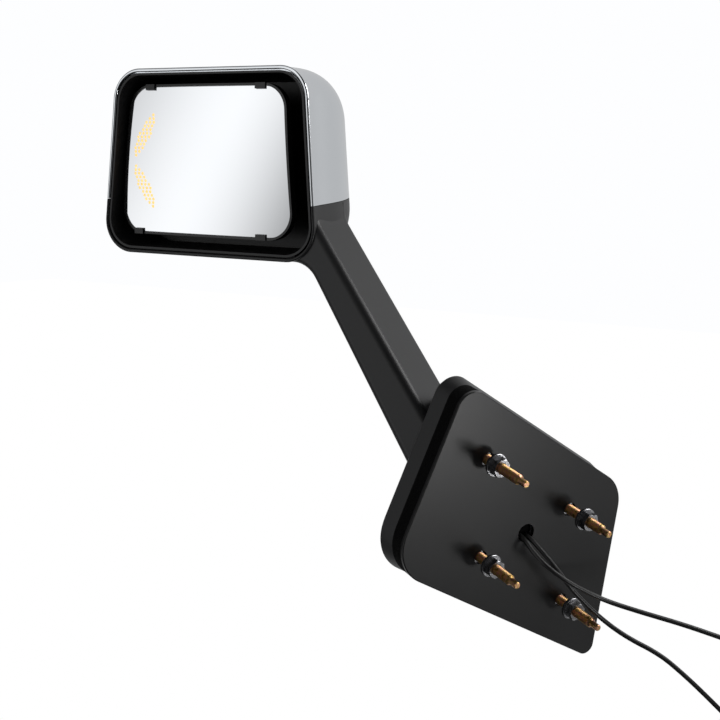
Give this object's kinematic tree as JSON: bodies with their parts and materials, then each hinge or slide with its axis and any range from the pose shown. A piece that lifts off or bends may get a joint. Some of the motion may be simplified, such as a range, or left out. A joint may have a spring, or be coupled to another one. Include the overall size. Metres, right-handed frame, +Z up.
{
  "type": "hood-mounted truck mirror",
  "caption": "Hood mirror with a chrome-capped head, convex glass with an arrow of amber lights, a bent arm and a studded mounting base with two cables.",
  "frame": {"origin": "the middle of the base's flat mounting face, on the axis of the cable hole", "axes": "+X towards the middle of the truck, +Y forward, +Z up; the glass looks back along -Y"},
  "size_m": [0.5625, 0.2207, 0.5604],
  "materials": {
    "chrome": "polished chrome plating",
    "black_satin": "satin black moulded nylon",
    "black_inner": "fine-grained black",
    "black_gloss": "smooth black with a soft shine",
    "mirror": "convex silvered glass",
    "amber": "glowing amber lens dots",
    "heater": "printed foil heater",
    "board": "green circuit board",
    "lamp": "pale LED package",
    "cast_alloy": "rough die cast",
    "steel": "drawn steel tube",
    "pale_nylon": "natural nylon",
    "rubber": "rough foam rubber",
    "yellow_zinc": "yellow zinc plating",
    "bright_zinc": "bright zinc plating",
    "cable": "smooth black sheath",
    "plug": "moulded connector shell"
  },
  "bodies": {
    "mirror": {"chrome_cap": "chrome", "arm_housing": "black_satin", "mirror_bucket": "black_inner", "head_bracket": "cast_alloy", "arm_core": "steel", "core_pins": "steel", "bracket_screws": "bright_zinc", "ball_post": "black_inner", "post_screws": "bright_zinc", "base_plate": "black_satin", "base_gasket": "rubber", "base_casting": "cast_alloy", "base_cover": "black_satin", "cover_screws": "bright_zinc", "mounting_studs": "yellow_zinc", "stud_nuts": "bright_zinc", "stud_washers": "bright_zinc", "cable_grommet": "rubber", "signal_cable": "cable", "signal_coil": "cable", "signal_tie": "black_inner", "signal_plug": "plug", "heater_cable": "cable", "heater_coil": "cable", "heater_tie": "black_inner", "heater_plug": "plug"},
    "pivot_cup": {"friction_cup": "pale_nylon"},
    "glass": {"mirror_glass": "mirror", "indicator_dots": "amber", "heater_pad": "heater", "glass_carrier": "black_gloss", "led_board": "board", "led_lamps": "lamp", "pivot_clamp": "black_inner", "clamp_screws": "bright_zinc"}
  },
  "joints": [
    {"name": "glass_pan", "type": "hinge", "parent": "mirror", "child": "pivot_cup", "pos_m": [-0.26029, -0.04109, 0.2754], "axis": [0, 0, 1], "range_deg": [-6.5, 6.5]},
    {"name": "glass_tilt", "type": "hinge", "parent": "pivot_cup", "child": "glass", "pos_m": [-0.26029, -0.04109, 0.2754], "axis": [0.9962, 0.0872, 0], "range_deg": [-6.5, 6.5]}
  ]
}
